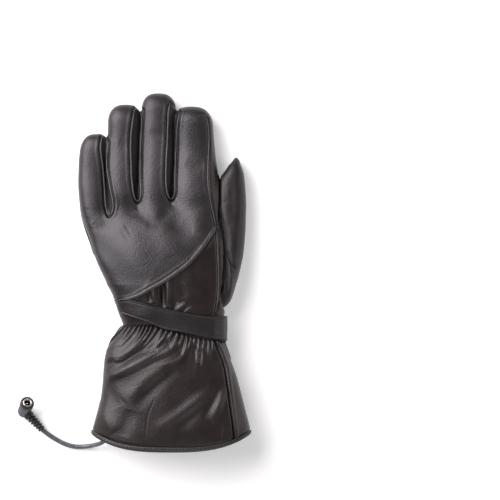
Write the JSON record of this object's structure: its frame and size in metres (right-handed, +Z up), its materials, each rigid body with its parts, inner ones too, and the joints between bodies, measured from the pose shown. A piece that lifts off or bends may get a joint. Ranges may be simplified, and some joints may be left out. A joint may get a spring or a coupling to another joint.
{
  "type": "heated gauntlet glove",
  "caption": "Left-hand leather gauntlet glove with a gathered wrist, strap, stitched palm pads and a short power lead with a socket.",
  "frame": {"origin": "on the floor under the middle of the glove, its power lead left aside", "axes": "+Y from the hem to the fingertips, +X to the thumb side, +Z up through the back of the hand"},
  "size_m": [0.2178, 0.3296, 0.053],
  "materials": {
    "leather": "fine-grained, half gloss",
    "side_leather": "fine-grained, duller and browner",
    "touch_leather": "matt, close-grained",
    "loop": "brushed loop pile",
    "lead": "moulded, half gloss",
    "clip": "moulded",
    "nickel": "nickel plate"
  },
  "bodies": {
    "root": {"back_panel": "leather", "lower_back_panel": "side_leather", "welt": "leather", "palm_panel": "leather", "touch_patch": "touch_leather", "fourchette_little_ring": "side_leather", "fourchette_ring_middle": "side_leather", "fourchette_middle_index": "side_leather", "side_gusset": "leather", "thumb": "leather", "palm_pad_1": "leather", "palm_pad_2": "leather", "palm_pad_3": "leather", "cuff_back": "leather", "cuff_palm": "leather", "hem_binding": "leather", "wrist_strap": "leather", "loop_patch": "loop", "clip_tab": "leather", "pairing_clip": "clip", "cord_outlet": "touch_leather", "cord": "lead", "plug_housing": "lead", "socket_ring": "nickel", "socket_pin": "nickel"}
  },
  "joints": []
}
